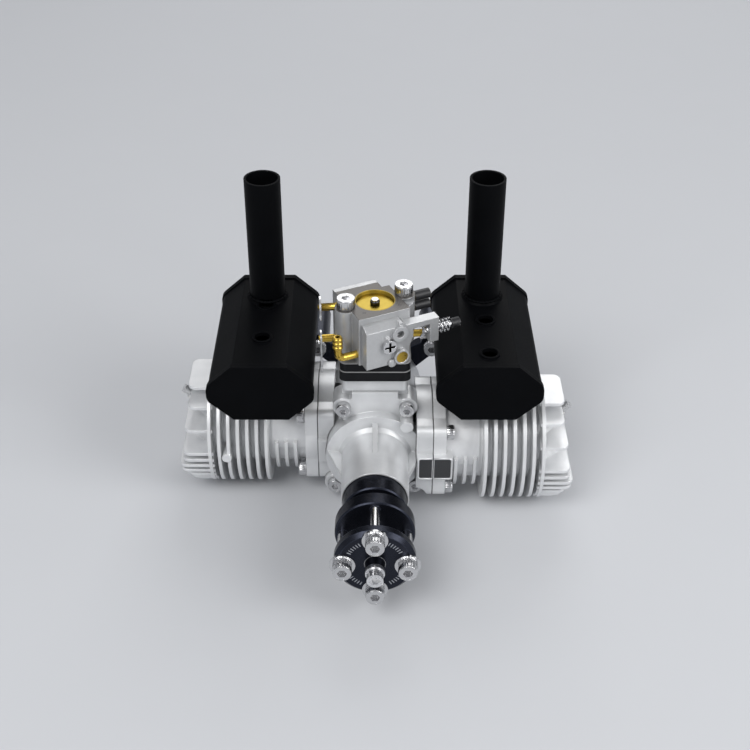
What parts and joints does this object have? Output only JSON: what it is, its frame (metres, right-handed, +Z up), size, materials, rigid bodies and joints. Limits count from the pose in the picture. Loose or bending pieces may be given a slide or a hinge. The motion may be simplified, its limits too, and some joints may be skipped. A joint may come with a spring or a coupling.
{
  "type": "flat twin-cylinder aircraft engine",
  "caption": "Flat opposed two-stroke engine with finned cylinders, top carburettor, two silencers with tail pipes, a propeller hub and a rear mount with stand-offs.",
  "frame": {"origin": "centre of the firewall bolt pattern, on the crank axis, at the rear faces of the stand-offs", "axes": "+Z up, +X to the right seen from the propeller side, -Y along the crank axis to the propeller"},
  "size_m": [0.2006, 0.1856, 0.1591],
  "materials": {
    "cast_alloy": "bead-blasted casting",
    "machined_alloy": "turned",
    "piston_alloy": "turned",
    "carb_alloy": "zinc die casting, fine grain",
    "black_anodised": "satin black anodising",
    "black_muffler": "matt heat-proof black",
    "bright_steel": "plated",
    "ground_steel": "ground",
    "black_steel": "blackened",
    "brass": "turned",
    "black_plastic": "moulded",
    "gasket": "fibre sheet",
    "seal_rubber": "moulded",
    "plug_metal": "nickel plated"
  },
  "bodies": {
    "engine": {"crankcase": "cast_alloy", "front_housing": "cast_alloy", "rear_cover": "cast_alloy", "left_cylinder": "cast_alloy", "right_cylinder": "cast_alloy", "bearing_outer_rings": "ground_steel", "front_oil_seal": "seal_rubber", "rear_mount": "black_anodised", "standoffs": "machined_alloy", "mount_bolts": "bright_steel", "housing_bolts": "bright_steel", "cylinder_bolts": "bright_steel", "base_gaskets": "gasket", "left_spark_plug": "plug_metal", "right_spark_plug": "plug_metal", "left_muffler": "black_muffler", "right_muffler": "black_muffler", "exhaust_gaskets": "gasket", "exhaust_bolts": "bright_steel", "reed_block": "black_plastic", "reed_petals": "ground_steel", "insulator_block": "black_plastic", "intake_gaskets": "gasket", "carburettor_body": "carb_alloy", "pump_cover": "carb_alloy", "cover_screws": "bright_steel", "fuel_elbow": "brass", "inlet_plug": "brass", "metering_cover": "carb_alloy", "carburettor_bolts": "bright_steel", "idle_screw_spring": "bright_steel", "ignition_pickup": "black_plastic"},
    "crankshaft": {"crankshaft": "ground_steel", "middle_crank_web": "ground_steel", "rear_crank_web": "ground_steel", "bearing_inner_rings": "ground_steel", "drive_hub": "black_anodised", "propeller_washer": "black_anodised", "propeller_bolts": "black_steel", "centre_bolt": "black_steel"},
    "throttle": {"throttle_shaft": "brass", "throttle_plate": "brass", "throttle_lever": "bright_steel", "throttle_stop": "bright_steel"},
    "choke": {"choke_shaft": "brass", "choke_plate": "brass", "choke_lever": "bright_steel"},
    "idle_screw": {"idle_speed_screw": "black_steel"},
    "high_needle": {"high_speed_needle": "brass"},
    "low_needle": {"low_speed_needle": "brass"},
    "left_piston": {"left_piston": "piston_alloy", "left_piston_rings": "ground_steel", "left_wrist_pin": "ground_steel", "left_connecting_rod": "ground_steel", "left_crankpin": "ground_steel"},
    "right_piston": {"right_piston": "piston_alloy", "right_piston_rings": "ground_steel", "right_wrist_pin": "ground_steel", "right_connecting_rod": "ground_steel", "right_crankpin": "ground_steel"}
  },
  "joints": [
    {"name": "crank_spin", "type": "hinge", "parent": "engine", "child": "crankshaft", "pos_m": [0, -0.1, 0], "axis": [0, 1, 0], "continuous": true},
    {"name": "left_piston_slide", "type": "slide", "parent": "engine", "child": "left_piston", "axis": [1, 0, 0], "range_m": [0, 0.025]},
    {"name": "right_piston_slide", "type": "slide", "parent": "engine", "child": "right_piston", "axis": [-1, 0, 0], "range_m": [0, 0.025]},
    {"name": "throttle_turn", "type": "hinge", "parent": "engine", "child": "throttle", "pos_m": [0, -0.0742, 0.0596], "axis": [-0.9945, -0.1045, 0], "range_deg": [0, 75], "stiffness_Nm_per_rad": 0.002, "springref_deg": -34.38},
    {"name": "choke_turn", "type": "hinge", "parent": "engine", "child": "choke", "pos_m": [0, -0.0742, 0.0776], "axis": [-0.9945, -0.1045, 0], "range_deg": [0, 75]},
    {"name": "idle_screw_turn", "type": "hinge", "parent": "engine", "child": "idle_screw", "pos_m": [0.03404, -0.0762, 0.067], "axis": [0.9063, 0.4226, 0], "range_deg": [-540, 540]},
    {"name": "high_needle_turn", "type": "hinge", "parent": "engine", "child": "high_needle", "pos_m": [0.02004, -0.05801, 0.0726], "axis": [0.9063, 0.4226, 0], "range_deg": [-540, 540]},
    {"name": "low_needle_turn", "type": "hinge", "parent": "engine", "child": "low_needle", "pos_m": [0.02004, -0.05801, 0.0668], "axis": [0.9063, 0.4226, 0], "range_deg": [-540, 540]}
  ],
  "couplings": [
    {"joint": "right_piston_slide", "follows": "left_piston_slide", "ratio": 1}
  ]
}
